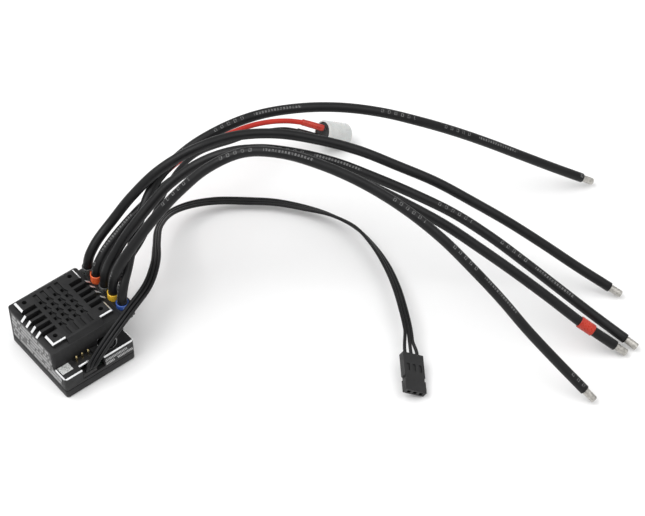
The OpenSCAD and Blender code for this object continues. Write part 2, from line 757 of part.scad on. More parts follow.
module receiver_lead() {
    w = 1.5 * core_d;
    t = core_d / 2;
    steps = 2;
    color([0.12, 0.12, 0.13])
        swept(
            smooth_path(lead_path, steps),
            blended(lead_flat, steps),
            [
                [w, t / 2], [w - t / 2, t], [-w + t / 2, t], [-w, t / 2],
                [-w, -t / 2], [-w + t / 2, -t], [w - t / 2, -t], [w, -t / 2]
            ]
        );
}
module at_plug() {
    aimed(lead_path[len(lead_path) - 1], plug_turn, plug_tilt) rotate([plug_roll, 0, 0]) children();
}
module plug_holes(w) {
    for (i = [-1:1])
        translate([2, i * pin_pitch, 0]) rotate([0, 90, 0]) centred_box([w, w, plug_l]);
}
module receiver_plug() {
    color([0.14, 0.14, 0.15])
        at_plug() difference() {
            translate([0, -plug_w / 2, -plug_t / 2]) cube([plug_l, plug_w, plug_t]);
            plug_holes(1.4);
            for (side = [-1, 1])
                translate([plug_l - 5.4, side * plug_w / 2, -plug_t]) centred_box([1.6, 0.8, 2 * plug_t]);
            for (i = [-1:1])
                translate([6, i * pin_pitch, plug_t / 2 - 0.4]) centred_box([3, 1.2, 1]);
        }
}
module receiver_contacts() {
    color([0.85, 0.72, 0.35])
        at_plug()
            for (i = [-1:1])
                translate([2, i * pin_pitch, 0]) rotate([0, 90, 0])
                    difference() {
                        centred_box([1.4, 1.4, 9]);
                        translate([0, 0, 2]) centred_box([0.8, 0.8, 9]);
                    }
}

bottom_case();
top_case();
case_screws();
control_board();
board_spacers();
power_board();
microcontroller();
gate_drivers();
regulator_coil();
mosfets();
thermal_pad();
link_header();
link_pins();
fan_header();
fan_pins();
set_switch();
set_button();
lead_grommet();
deck_label();
side_label();
terminal_block();
solder_posts();
solder_fill();
collar_negative();
collar_phase_a();
collar_positive();
collar_phase_b();
collar_phase_c();
wire_negative();
wire_phase_a();
wire_positive();
wire_phase_b();
wire_phase_c();
tinned_negative();
tinned_phase_a();
tinned_positive();
tinned_phase_b();
tinned_phase_c();
polarity_band();
capacitor_can();
capacitor_sleeve();
capacitor_bung();
capacitor_leads();
shrink_red();
shrink_black();
capacitor_wire_red();
capacitor_wire_black();
receiver_lead();
receiver_plug();
receiver_contacts();
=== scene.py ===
"""Electronic speed controller: cords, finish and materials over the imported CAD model."""
import math

import bmesh
import bpy
from mathutils import Matrix, Vector

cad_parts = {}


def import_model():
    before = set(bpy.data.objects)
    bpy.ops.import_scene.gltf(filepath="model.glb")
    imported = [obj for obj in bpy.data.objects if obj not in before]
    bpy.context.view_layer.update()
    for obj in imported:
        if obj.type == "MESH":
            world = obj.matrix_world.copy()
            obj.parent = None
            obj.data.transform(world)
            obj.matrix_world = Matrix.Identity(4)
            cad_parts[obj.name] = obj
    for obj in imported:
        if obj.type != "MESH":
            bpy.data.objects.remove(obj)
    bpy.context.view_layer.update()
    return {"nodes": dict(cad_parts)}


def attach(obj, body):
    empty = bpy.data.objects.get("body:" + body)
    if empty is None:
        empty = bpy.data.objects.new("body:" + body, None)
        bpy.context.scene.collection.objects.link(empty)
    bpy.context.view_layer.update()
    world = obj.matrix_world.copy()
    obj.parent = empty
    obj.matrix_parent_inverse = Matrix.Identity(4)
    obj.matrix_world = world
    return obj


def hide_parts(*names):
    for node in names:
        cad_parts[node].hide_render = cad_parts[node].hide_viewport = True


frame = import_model()
nodes = frame["nodes"]
MM = 0.001

# ---------------------------------------------------------------- camera

CAM_TARGET = Vector((77.7, -46.9, 33.9)) * MM
CAM_AZIMUTH = math.radians(-39.33)
CAM_ELEVATION = math.radians(48.56)
CAM_DISTANCE = 0.7265
CAM_LENS = 111.6


def make_camera():
    flat = math.cos(CAM_ELEVATION)
    back = Vector((
        math.sin(CAM_AZIMUTH) * flat,
        -math.cos(CAM_AZIMUTH) * flat,
        math.sin(CAM_ELEVATION),
    ))
    data = bpy.data.cameras.new("camera")
    data.lens = CAM_LENS
    data.sensor_width = 36.0
    data.clip_start = 0.01
    camera = bpy.data.objects.new("camera", data)
    camera.location = CAM_TARGET + back * CAM_DISTANCE
    camera.rotation_euler = back.to_track_quat("Z", "Y").to_euler()
    bpy.context.scene.collection.objects.link(camera)
    bpy.context.scene.camera = camera


make_camera()

# ---------------------------------------------------------------- main sizes, as in the CAD, in mm

CASE_X = -3.0
BUTTON_X, BUTTON_Y = 4.0, -12.4
CASE_L = 36.0
BASE_H = 4.2
DECK_H = 10.6
SHOULDER_H = 19.0
TOP_H = 21.0
POST_X = 15.0
POST_Y = [13.6 - 5.4 * i for i in range(5)]
WIRE_D = 3.75
CORE_D = 1.3
CAP_WIRE_D = 2.1
TINNED_R = 1.4
TINNED_L = 5.0
CAN_FACE = Vector((133.5, 21.0, 10.2))
CAN_TURN = -14.0
CAN_TILT = 31.0
CAN_R = 5.0
CAN_L = 11.0
LEAD_SPACING = 2.3
SLEEVE_START = 0.9
PIN_PITCH = 2.54

WIRES = {
    "wire_negative": [
        (15, 13.6, 17.6), (15, 13.6, 20.5), (15.5, 13.8, 23.8), (17.2, 14.2, 26.8), (21.5, 15.2, 30.2),
        (28.5, 15.8, 34.6), (37, 14.2, 43.4), (47.5, 10.8, 53), (60.5, 6, 59.5), (75, 1, 61),
        (88.5, -7, 60), (100.5, -16.5, 56.5), (111.5, -27, 52), (121, -38, 46.5), (130.5, -49, 40.5),
        (139, -60.5, 33.5), (147, -72, 26.5), (154.5, -83.5, 19), (162, -95.5, 11), (169, -107, 4.2),
    ],
    "wire_phase_a": [
        (15, 8.2, 17.6), (15, 8.2, 20.5), (15.5, 8.4, 23.8), (17.4, 8.9, 26.5), (22, 10, 29.8),
        (30, 11.5, 33.2), (40.5, 11.5, 38.8), (53, 9.5, 45.5), (67.5, 5, 51), (80.5, -2.5, 53.5),
        (92, -13, 52.5), (102.5, -24.5, 49.5), (111.5, -37, 45.5), (120, -49.5, 41), (128, -62.5, 36),
        (134.5, -75.5, 30), (140, -88.5, 23.5), (145.5, -102, 16.5), (151, -115, 9.5), (156, -128.5, 3.8),
    ],
    "wire_positive": [
        (15, 2.8, 17.6), (15, 2.8, 20.5), (15.5, 3, 24.5), (17.5, 3, 29), (21, 3, 33.5),
        (26, 3, 39), (34, 2.5, 46), (45.5, 1.5, 54.5), (58.5, -3, 62), (71, -11, 66),
        (82, -22, 65), (91.5, -34, 61.5), (100, -46, 56.5), (108.5, -58, 50.5), (116.5, -70, 44),
        (123.5, -81.5, 36.5), (130.5, -93.5, 28.5), (137, -105.5, 20.5), (143.5, -117.5, 12),
        (150.5, -128.5, 4.2),
    ],
    "wire_phase_b": [
        (15, -2.6, 17.6), (15, -2.6, 20.5), (15, -3, 26), (16.5, -3.5, 31.5), (20.5, -4, 37.5),
        (27, -4.5, 44), (35, -5.5, 51.5), (44, -7.5, 59.5), (54.5, -11, 67.5), (66, -17.5, 73),
        (76, -28, 74), (85, -40.5, 71.5), (93, -53.5, 67), (100, -66.5, 60.5), (105.5, -79.5, 53),
        (110, -91.5, 44), (114.5, -102.5, 34), (118.5, -113.5, 23.5), (123, -124.5, 13.5),
        (127, -136.5, 4.8),
    ],
    "wire_phase_c": [
        (15, -8, 17.6), (15, -8, 20.5), (15.6, -7.6, 24), (17.8, -6, 27.2), (22, -3, 30.6),
        (27, 1, 34.2), (34.5, 6, 39.5), (46.5, 12, 46.4), (61, 13, 52.5), (76, 11, 56),
        (90.5, 6.5, 58), (105, 0, 57.5), (119, -7, 54.5), (132, -15, 50), (144, -23, 44),
        (156, -30, 36.5), (167.5, -37, 28.5), (178.5, -44.5, 20.5), (189.5, -52, 12.5),
        (200.5, -59.5, 4.8),
    ],
}
CAP_WIRES = {
    "capacitor_wire_red": [
        (18.3, 11, 14.8), (21, 11.2, 15.2), (24.5, 12.8, 17), (28.5, 16, 19.6), (33.5, 19.8, 21.6),
        (39.5, 23, 22), (48, 26, 21), (57, 30, 22), (66, 33, 23), (76, 34.5, 23.5),
        (86.5, 35, 23), (96.5, 34.5, 22.5), (106.5, 33.5, 21.5), (115, 31.5, 20), (122, 29, 18),
        (127.5, 26, 16),
    ],
    "capacitor_wire_black": [
        (18.3, 5.5, 14.8), (21, 5.5, 15.4), (25, 6, 18), (30, 7, 21.6), (36, 8.5, 25),
        (43, 11.5, 28.5), (51, 16, 31), (59.5, 21, 32), (68, 25, 31.5), (77, 28, 29.5),
        (86, 30, 25.8), (95, 30.6, 22.6), (104, 31, 20), (112.5, 30, 17.5), (119.5, 28, 15.5),
        (125, 26, 12.5),
    ],
}
LEAD = [
    (-7.4, -16.9, 7.4), (-7, -17.4, 8.8), (-5.6, -17.5, 10.4), (-3.2, -17.1, 12.2), (0.5, -16.4, 14.6),
    (6.5, -15.2, 17.8), (15.5, -12.5, 20.4), (26.5, -8, 21.5), (35.5, -0.5, 21), (42.5, 8.5, 18.5),
    (49.5, 17, 15.5), (59, 23.5, 11.5), (69.5, 25, 8), (80.5, 22.5, 5), (90.5, 16, 3.5),
    (99, 8, 3.5), (106, -1.5, 3.5), (111, -12, 4.5), (113.5, -23.5, 5.5), (112.5, -35, 6),
    (109.5, -46.5, 6.5), (105, -57.5, 7), (100, -67, 7.2), (95.2, -75.2, 7.2), (91.2, -81, 6.8),
    (88.3, -85.2, 6),
]
LEAD_FLAT = [
    (1, 0, 0), (1, 0, 0), (0.8, -0.5, -0.2), (0.6, -0.7, -0.3), (0.4, -0.8, -0.4),
    (0.3, -0.9, -0.4), (0.3, -0.9, -0.4), (0.4, -0.8, -0.3), (0.5, -0.7, 0.2), (0.5, -0.5, 0.6),
    (0.4, -0.6, 0.6), (0.2, -0.9, 0.3), (-0.2, -0.9, 0.1), (-0.4, -0.9, 0), (-0.6, -0.7, 0),
    (-0.7, -0.6, 0.1), (-0.7, -0.6, 0.3), (-0.5, -0.4, 0.7), (-0.4, -0.3, 0.8), (-0.6, 0, 0.7),
    (-0.8, 0.2, 0.5), (-0.8, 0.4, 0.4), (-0.8, 0.5, 0.4), (-0.8, 0.5, 0.4), (-0.8, 0.5, 0.45),
    (-0.8, 0.5, 0.45),
]

# ---------------------------------------------------------------- mesh helpers


def new_piece(name, bm, body="case", replaces=(), flat_angle=35):
    """Turns a bmesh in mm into a piece that rides on a body."""
    bmesh.ops.recalc_face_normals(bm, faces=bm.faces)
    mesh = bpy.data.meshes.new(name)
    bm.to_mesh(mesh)
    bm.free()
    mesh.transform(Matrix.Scale(MM, 4))
    mesh.polygons.foreach_set("use_smooth", [True] * len(mesh.polygons))
    mesh.set_sharp_from_angle(angle=math.radians(flat_angle))
    piece = bpy.data.objects.new(name, mesh)
    bpy.context.scene.collection.objects.link(piece)
    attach(piece, body)
    if replaces:
        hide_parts(*replaces)
    return piece


def smooth_path(points, steps):
    """The CAD's smooth curve through a route's points."""
    p = [Vector(q) for q in points]
    out = []
    for i in range(len(p) - 1):
        a, b = p[i], p[i + 1]
        before = p[i - 1] if i else 2 * p[0] - p[1]
        after = p[i + 2] if i + 2 < len(p) else 2 * p[-1] - p[-2]
        d = (b - a).length
        m = (b - before) / ((a - before).length + d) * d
        n = (after - a) / (d + (after - b).length) * d
        for s in range(steps):
            t = s / steps
            out.append(
                (2 * t**3 - 3 * t**2 + 1) * a + (t**3 - 2 * t**2 + t) * m
                + (3 * t**2 - 2 * t**3) * b + (t**3 - t**2) * n
            )
    out.append(p[-1])
    return out


def blended(directions, steps):
    """Directions between those given, one for each point of the smooth curve."""
    d = [Vector(q) for q in directions]
    out = []
    for i in range(len(d) - 1):
        out += [d[i].lerp(d[i + 1], s / steps) for s in range(steps)]
    out.append(d[-1])
    return out


def tangents(path):
    """The path's direction at each of its points."""
    out = []
    for i in range(len(path)):
        a = path[max(i - 1, 0)]
        b = path[min(i + 1, len(path) - 1)]
        out.append((b - a).normalized())
    return out


def lengths(path):
    """The length along the path up to each of its points."""
    total = 0.0
    out = [0.0]
    for a, b in zip(path, path[1:]):
        total += (b - a).length
        out.append(total)
    return out


def add_sweep(bm, path, sides, outline, round_end=0.3):
    """A closed tube along path. outline(s) gives the ring's points as (across, up) at a
    length s along it. UVs hold the length and the turn round the tube."""
    uv = bm.loops.layers.uv.verify()
    along = lengths(path)
    dirs = tangents(path)
    total = along[-1]
    stations = []
    for i, centre in enumerate(path):
        stations.append((centre, dirs[i], sides[i], along[i], 1.0))
    if round_end:
        def station(i, offset, scale):
            s = along[i] + offset
            return (path[i] + dirs[i] * offset, dirs[i], sides[i], s, scale)
        r = round_end
        first = [station(0, 0.0, 0.86), station(0, 0.3 * r, 0.96), station(0, r, 1.0)]
        last = [station(-1, -r, 1.0), station(-1, -0.3 * r, 0.96), station(-1, 0.0, 0.86)]
        inner = [q for q in stations[1:-1] if r * 1.5 < q[3] < total - r * 1.5]
        stations = first + inner + last
    rings = []
    for centre, direction, flat, s, scale in stations:
        side = (flat - flat.dot(direction) * direction).normalized()
        up = direction.cross(side)
        ring = [bm.verts.new(centre + scale * (a * side + b * up)) for a, b in outline(s)]
        rings.append((ring, s))
    for (ring_a, s_a), (ring_b, s_b) in zip(rings, rings[1:]):
        n = len(ring_a)
        for j in range(n):
            k = (j + 1) % n
            face = bm.faces.new((ring_a[j], ring_a[k], ring_b[k], ring_b[j]))
            turns = (j / n, (j + 1) / n, (j + 1) / n, j / n)
            for loop, s, turn in zip(face.loops, (s_a, s_a, s_b, s_b), turns):
                loop[uv].uv = (s * MM, turn)
    bm.faces.new(list(reversed(rings[0][0])))
    bm.faces.new(rings[-1][0])


def circle(r, n):
    turns = [2 * math.pi * i / n for i in range(n)]
    return [(r * math.cos(turn), r * math.sin(turn)) for turn in turns]


def placed(pos, turn, tilt):
    """The CAD's aimed(): +X turned to a heading and a downward tilt, at a point in mm."""
    return (
        Matrix.Translation(pos)
        @ Matrix.Rotation(math.radians(turn), 4, "Z")
        @ Matrix.Rotation(math.radians(tilt), 4, "Y")
    )


def aim(pos, direction):
    """As placed(), from a direction."""
    turn = math.degrees(math.atan2(direction.y, direction.x))
    tilt = -math.degrees(math.asin(direction.normalized().z))
    return placed(pos, turn, tilt)


def add_lathe(bm, matrix, profile, n=48, closed=False):
    """Turns a profile of (length, radius) round local +X. A radius of 0 is a point."""
    rings = []
    for x, r in profile:
        if r == 0:
            rings.append([bm.verts.new(matrix @ Vector((x, 0, 0)))])
            continue
        rings.append([
            bm.verts.new(matrix @ Vector((
                x, r * math.cos(2 * math.pi * j / n), r * math.sin(2 * math.pi * j / n)
            )))
            for j in range(n)
        ])
    pairs = list(zip(rings, rings[1:]))
    if closed:
        pairs.append((rings[-1], rings[0]))
    for a, b in pairs:
        for j in range(n):
            k = (j + 1) % n
            corners = []
            for ring, index in ((a, j), (a, k), (b, k), (b, j)):
                vertex = ring[index % len(ring)]
                if vertex not in corners:
                    corners.append(vertex)
            if len(corners) > 2:
                bm.faces.new(corners)
    if not closed:
        for ring in (rings[0], rings[-1]):
            if len(ring) > 2:
                bm.faces.new(ring)


def add_box(bm, matrix, low, high):
    """A box between two corners."""
    corners = [
        bm.verts.new(matrix @ Vector((x, y, z)))
        for z in (low[2], high[2]) for y in (low[1], high[1]) for x in (low[0], high[0])
    ]
    quads = ((0, 2, 3, 1), (4, 5, 7, 6), (0, 1, 5, 4), (2, 6, 7, 3), (0, 4, 6, 2), (1, 3, 7, 5))
    for quad in quads:
        bm.faces.new([corners[i] for i in quad])


def from_node(name, bevel, body="case"):
    """A copy of a CAD node with its hard edges rounded, which stands for it."""
    bm = bmesh.new()
    bm.from_mesh(nodes[name].data)
    bmesh.ops.scale(bm, vec=(1 / MM,) * 3, verts=bm.verts)
    bmesh.ops.remove_doubles(bm, verts=bm.verts, dist=0.002)
    bmesh.ops.dissolve_limit(
        bm, angle_limit=math.radians(1.0), verts=bm.verts, edges=bm.edges
    )
    hard = [
        e for e in bm.edges
        if len(e.link_faces) == 2 and e.calc_face_angle(0) > math.radians(30)
    ]
    bmesh.ops.bevel(
        bm, geom=hard, offset=bevel, segments=2, profile=0.5, affect="EDGES",
        clamp_overlap=True,
    )
    return new_piece(
        name + "_finished", bm, body=body, replaces=(name,), flat_angle=32
    )


# ---------------------------------------------------------------- materials


class Shader:
    """A node material built step by step: every call adds a node and gives its output."""

    def __init__(self, name):
        self.material = bpy.data.materials.new(name)
        self.material.use_nodes = True
        self.tree = self.material.node_tree
        self.principled = self.tree.nodes["Principled BSDF"]
        self.coords = self.add("ShaderNodeTexCoord").outputs["Object"]

    def add(self, kind, **settings):
        node = self.tree.nodes.new(kind)
        for key, value in settings.items():
            setattr(node, key, value)
        return node

    def link(self, source, target):
        if isinstance(source, bpy.types.NodeSocket):
            self.tree.links.new(source, target)
        else:
            target.default_value = source

    def noise(self, scale, detail=4.0, rough=0.55, vector=None):
        node = self.add("ShaderNodeTexNoise")
        node.inputs["Scale"].default_value = scale
        node.inputs["Detail"].default_value = detail
        node.inputs["Roughness"].default_value = rough
        self.link(vector or self.coords, node.inputs["Vector"])
        return node.outputs["Fac"]

    def math(self, operation, a, b=0.0, c=0.0, clamp=False):
        node = self.add("ShaderNodeMath", operation=operation, use_clamp=clamp)
        for socket, value in zip(node.inputs, (a, b, c)):
            self.link(value, socket)
        return node.outputs[0]

    def ramp(self, value, low, high, to_low=0.0, to_high=1.0):
        node = self.add("ShaderNodeMapRange")
        for key, item in zip(("Value", "From Min", "From Max", "To Min", "To Max"),
                             (value, low, high, to_low, to_high)):
            self.link(item, node.inputs[key])
        return node.outputs["Result"]

    def mix(self, factor, a, b):
        node = self.add("ShaderNodeMix", data_type="RGBA")
        self.link(factor, node.inputs["Factor"])
        self.link(a, node.inputs["A"])
        self.link(b, node.inputs["B"])
        return node.outputs["Result"]

    def split(self, vector):
        node = self.add("ShaderNodeSeparateXYZ")
        self.link(vector, node.inputs[0])
        return node.outputs

    def join(self, x, y, z):
        node = self.add("ShaderNodeCombineXYZ")
        for socket, value in zip(node.inputs, (x, y, z)):
            self.link(value, socket)
        return node.outputs[0]

    def stretched(self, x, y, z):
        node = self.add("ShaderNodeVectorMath", operation="MULTIPLY")
        self.link(self.coords, node.inputs[0])
        node.inputs[1].default_value = (x, y, z)
        return node.outputs[0]

    def cell(self, vector):
        node = self.add("ShaderNodeTexWhiteNoise", noise_dimensions="3D")
        self.link(vector, node.inputs["Vector"])
        return node.outputs["Value"]

    def uv(self):
        return self.split(self.add("ShaderNodeUVMap").outputs[0])

    def set(self, **values):
        for key, value in values.items():
            self.link(value, self.principled.inputs[key.replace("_", " ")])

    def bump(self, height, strength, distance=0.0001):
        node = self.add("ShaderNodeBump")
        node.inputs["Strength"].default_value = strength
        node.inputs["Distance"].default_value = distance
        self.link(height, node.inputs["Height"])
        self.link(node.outputs[0], self.principled.inputs["Normal"])


def colour(r, g, b):
    return (r, g, b, 1.0)


def plain(name, low, high, rough, metal=0.0, grain=900.0, bump=0.1, coat=0.0):
    """Colour and roughness that vary with two scales of noise over a fine bump."""
    s = Shader(name)
    broad = s.noise(grain * 0.12, 5.0)
    fine = s.noise(grain, 6.0)
    s.set(
        Base_Color=s.mix(s.ramp(broad, 0.3, 0.7), colour(*low), colour(*high)),
        Roughness=s.ramp(fine, 0.25, 0.75, rough[0], rough[1]),
        Metallic=metal,
        Coat_Weight=coat,
        Coat_Roughness=0.2,
    )
    s.bump(fine, bump)
    return s.material


PRINT_REPEAT = 92.0


def wire_print(s, u, v, print_at):
    """Generic printed marks along a wire, in mm from print_at: two runs of wide rings and one of
    close bars, worn in places, that come again every PRINT_REPEAT."""
    along = s.math("MULTIPLY", u, 1000.0)
    place = s.math("MODULO", s.math("ADD", along, 2 * PRINT_REPEAT - print_at), PRINT_REPEAT)
    wide = s.math("FRACT", s.math("DIVIDE", place, 2.7))
    tight = s.math("FRACT", s.math("DIVIDE", place, 1.15))
    first = s.math("LESS_THAN", place, 14.0)
    second = s.math("LESS_THAN", s.math("ABSOLUTE", s.math("SUBTRACT", place, 33.0)), 6.8)
    third = s.math("LESS_THAN", s.math("ABSOLUTE", s.math("SUBTRACT", place, 52.0)), 9.0)
    height = s.math("ABSOLUTE", s.math("SUBTRACT", v, 0.31))
    large = s.math("MULTIPLY", s.math("LESS_THAN", wide, 0.42), s.math("ADD", first, second))
    small = s.math("MULTIPLY", s.math("LESS_THAN", tight, 0.62), third)
    hollow = s.math("GREATER_THAN", s.math("ABSOLUTE", s.math("SUBTRACT", wide, 0.21)), 0.10)
    ring = s.math("MAXIMUM", hollow, s.math("GREATER_THAN", height, 0.038))
    tall = s.math("LESS_THAN", height, 0.058)
    large = s.math("MULTIPLY", large, s.math("MULTIPLY", ring, tall))
    small = s.math("MULTIPLY", small, s.math("LESS_THAN", height, 0.042))
    worn = s.ramp(s.noise(1500.0, 3.0), 0.38, 0.55, 0.15, 0.75)
    return s.math("MULTIPLY", s.math("MAXIMUM", large, small), worn)


def silicone(name, low, high, print_at=None):
    """Soft wire insulation with a faint bloom and fine die lines, printed if print_at is given."""
    s = Shader(name)
    u, v, _ = s.uv()
    lines = s.noise(
        1.0, 3.0, vector=s.join(s.math("MULTIPLY", u, 60.0), s.math("MULTIPLY", v, 90.0), 0.0)
    )
    dust = s.noise(420.0, 6.0)
    bloom = s.ramp(s.noise(90.0, 4.0), 0.35, 0.7)
    base = s.mix(bloom, colour(*low), colour(*high))
    if print_at is not None:
        base = s.mix(wire_print(s, u, v, print_at), base, colour(0.17, 0.17, 0.17))
    s.set(Base_Color=base, Roughness=s.ramp(dust, 0.3, 0.7, 0.34, 0.46), Specular_IOR_Level=0.24)
    s.bump(s.math("ADD", s.math("MULTIPLY", lines, 0.6), dust), 0.10, 0.00006)
    return s.material


def anodised(name):
    """Black anodised metal with a fine blasted grain."""
    s = Shader(name)
    grain = s.noise(2600.0, 5.0)
    broad = s.ramp(s.noise(120.0, 4.0), 0.3, 0.7)
    s.set(
        Base_Color=s.mix(broad, colour(0.009, 0.009, 0.0095), colour(0.017, 0.017, 0.0175)),
        Roughness=s.ramp(grain, 0.3, 0.7, 0.42, 0.58),
        Specular_IOR_Level=0.24,
    )
    s.bump(grain, 0.10, 0.00004)
    return s.material


def bright_cut(name):
    """Bare aluminium left by a cutter, with fine lines across the cut."""
    s = Shader(name)
    lines = s.noise(1.0, 4.0, vector=s.stretched(5200.0, 5200.0, 900.0))
    broad = s.ramp(s.noise(500.0, 3.0), 0.3, 0.7)
    s.set(
        Base_Color=s.mix(broad, colour(0.78, 0.79, 0.80), colour(0.92, 0.92, 0.92)),
        Metallic=0.45,
        Roughness=s.ramp(lines, 0.3, 0.7, 0.16, 0.34),
    )
    s.bump(lines, 0.08, 0.00003)
    return s.material


def tinned(name):
    """Dull tin over twisted strands."""
    s = Shader(name)
    broad = s.noise(900.0, 5.0)
    s.set(
        Base_Color=s.mix(
            s.ramp(broad, 0.3, 0.7), colour(0.30, 0.29, 0.27), colour(0.60, 0.58, 0.54)
        ),
        Metallic=0.8,
        Roughness=s.ramp(broad, 0.3, 0.7, 0.28, 0.5),
    )
    s.bump(s.noise(2400.0, 5.0), 0.25, 0.00006)
    return s.material


def shrink_film(name, low, high, see_through=0.0):
    """Heat shrink tube: a glossy skin with a slow waviness, a little see-through if asked."""
    s = Shader(name)
    wave = s.noise(260.0, 3.0)
    s.set(
        Base_Color=s.mix(s.ramp(wave, 0.3, 0.7), colour(*low), colour(*high)),
        Roughness=s.ramp(s.noise(1500.0, 4.0), 0.3, 0.7, 0.22, 0.38),
        Transmission_Weight=see_through,
        IOR=1.45,
        Subsurface_Weight=0.12,
        Subsurface_Radius=(0.6, 0.3, 0.2),
        Subsurface_Scale=0.0006,
    )
    s.bump(wave, 0.2, 0.0002)
    return s.material


def printed_bars(name, along, low, row_h, rows, ink, cell, ground):
    """Generic print: rows of bars of many widths, worn in places. along is the coordinate that
    the rows run along, 0 for X and 1 for Y. low and row_h are in metres, cell in mm. ink is the
    bars' brightness and ground the darkest and lightest of what they stand on."""
    s = Shader(name)
    place = s.split(s.coords)
    run, z = place[along], place[2]
    level = s.math("DIVIDE", s.math("SUBTRACT", z, low), row_h)
    row = s.math("FLOOR", level)
    off_middle = s.math("ABSOLUTE", s.math("SUBTRACT", s.math("FRACT", level), 0.5))
    inside = s.math("LESS_THAN", off_middle, 0.36)
    first = s.math("GREATER_THAN", level, 0.0)
    last = s.math("LESS_THAN", level, float(rows))
    slant = s.math("MULTIPLY", s.math("ADD", run, s.math("MULTIPLY", z, 0.25)), 1000.0 / cell)
    block = s.cell(s.join(s.math("FLOOR", s.math("MULTIPLY", slant, 0.5)), row, 2.0))
    edge = s.math("LESS_THAN", s.math("FRACT", slant), 0.66)
    bars = s.math("MULTIPLY", edge, s.math("GREATER_THAN", block, 0.22))
    mask = s.math("MULTIPLY", s.math("MULTIPLY", bars, inside), s.math("MULTIPLY", first, last))
    wear = s.ramp(s.noise(900.0, 5.0), 0.3, 0.6, 0.45, 1.0)
    haze = s.ramp(s.noise(160.0, 3.0), 0.3, 0.7)
    paper = s.mix(haze, colour(*(ground[0],) * 3), colour(*(ground[1],) * 3))
    s.set(
        Base_Color=s.mix(s.math("MULTIPLY", mask, wear), paper, colour(ink, ink, ink)),
        Roughness=s.ramp(s.noise(2000.0), 0.3, 0.7, 0.42, 0.6),
        Specular_IOR_Level=0.3,
    )
    s.bump(mask, 0.05, 0.00002)
    return s.material


def speckled_label(name):
    """A small data label: fine light and dark cells on pale paper, pitch of them to a metre."""
    s = Shader(name)
    x, y, _ = s.split(s.coords)
    pitch = 3600.0
    column = s.math("FLOOR", s.math("MULTIPLY", x, pitch))
    row = s.math("FLOOR", s.math("MULTIPLY", y, pitch))
    cell = s.cell(s.join(column, row, 0.0))
    dark = s.math("MULTIPLY", s.math("GREATER_THAN", cell, 0.74), 0.7)
    s.set(
        Base_Color=s.mix(dark, colour(0.56, 0.57, 0.56), colour(0.12, 0.12, 0.12)),
        Roughness=s.ramp(s.noise(2500.0), 0.3, 0.7, 0.45, 0.65),
    )
    s.bump(cell, 0.04, 0.00002)
    return s.material


WIRE_BLACK = ((0.004, 0.004, 0.0045), (0.009, 0.009, 0.0095))
THIN_BLACK = ((0.005, 0.005, 0.0055), (0.010, 0.010, 0.0105))

MATERIAL = {
    "case": anodised("case_black"),
    "bright": bright_cut("bright_cut"),
    "screw": plain("screw_black", (0.10, 0.10, 0.105), (0.22, 0.22, 0.22), (0.3, 0.45), metal=1.0),
    # painted shade: a near-black material that darkens the gap between the shells
    "seam": plain("seam_painted_shade", (0.001, 0.001, 0.001), (0.003, 0.003, 0.003), (0.8, 0.95)),
    "board": plain("board_dark", (0.004, 0.010, 0.007), (0.008, 0.018, 0.012), (0.35, 0.5)),
    "chip": plain("chip_black", (0.012, 0.012, 0.013), (0.03, 0.03, 0.03), (0.5, 0.7), bump=0.2),
    "thermal": plain("thermal_blue", (0.28, 0.34, 0.52), (0.38, 0.45, 0.64), (0.6, 0.8), bump=0.3),
    "gold": plain(
        "pin_gold", (0.84, 0.64, 0.28), (0.96, 0.82, 0.48), (0.18, 0.32), metal=1.0, bump=0.05
    ),
    "plastic": plain(
        "plastic_black", (0.005, 0.005, 0.0055), (0.011, 0.011, 0.0115), (0.42, 0.6), bump=0.18
    ),
    "rubber": plain(
        "rubber_black", (0.010, 0.010, 0.010), (0.026, 0.026, 0.026), (0.6, 0.8), bump=0.25
    ),
    "can": plain("can_metal", (0.62, 0.63, 0.65), (0.82, 0.83, 0.85), (0.25, 0.4), metal=1.0),
    "film": shrink_film("can_film", (0.52, 0.53, 0.52), (0.58, 0.59, 0.575)),
    "clear": shrink_film("collar_clear", (0.30, 0.31, 0.31), (0.42, 0.43, 0.43), 0.85),
    "orange": shrink_film("collar_orange", (0.74, 0.09, 0.02), (0.86, 0.17, 0.05)),
    "yellow": shrink_film("collar_yellow", (0.72, 0.40, 0.01), (0.84, 0.54, 0.05)),
    "blue": shrink_film("collar_blue", (0.02, 0.06, 0.28), (0.05, 0.12, 0.42)),
    "red": shrink_film("sleeve_red", (0.36, 0.018, 0.009), (0.47, 0.036, 0.016)),
    "black_film": shrink_film("sleeve_black", (0.010, 0.010, 0.011), (0.02, 0.02, 0.02)),
    "wire": silicone("silicone_black", *WIRE_BLACK),
    "wire_marked_a": silicone("silicone_marked_a", *WIRE_BLACK, print_at=62.0),
    "wire_marked_b": silicone("silicone_marked_b", *WIRE_BLACK, print_at=46.0),
    "wire_marked_c": silicone("silicone_marked_c", *WIRE_BLACK, print_at=52.0),
    "wire_red": silicone("silicone_red", (0.36, 0.016, 0.010), (0.47, 0.028, 0.015)),
    "wire_thin": silicone("silicone_thin", *THIN_BLACK),
    "lead": silicone("lead_black", *THIN_BLACK),
    "tin": tinned("solder_tin"),
    "band": printed_bars(
        "printed_band", along=1, low=0.0052, row_h=0.0021, rows=6, ink=0.45, cell=0.5,
        ground=(0.07, 0.11),
    ),
    "front_print": printed_bars(
        "printed_front", along=0, low=0.0054, row_h=0.0019, rows=2, ink=0.42, cell=0.62,
        ground=(0.010, 0.016),
    ),
    "label": speckled_label("deck_label"),
}


def finish(piece, key):
    """Gives a piece, or a CAD node's own object, one material."""
    piece.data.materials.clear()
    piece.data.materials.append(MATERIAL[key])
    return piece


# ---------------------------------------------------------------- power wires

FLAT_REFERENCE = Vector((0.63, 0.77, 0.03))
MARKED = {
    "wire_phase_a": "wire_marked_a",
    "wire_phase_b": "wire_marked_b",
    "wire_phase_c": "wire_marked_c",
}
WIRE_STEPS = 8


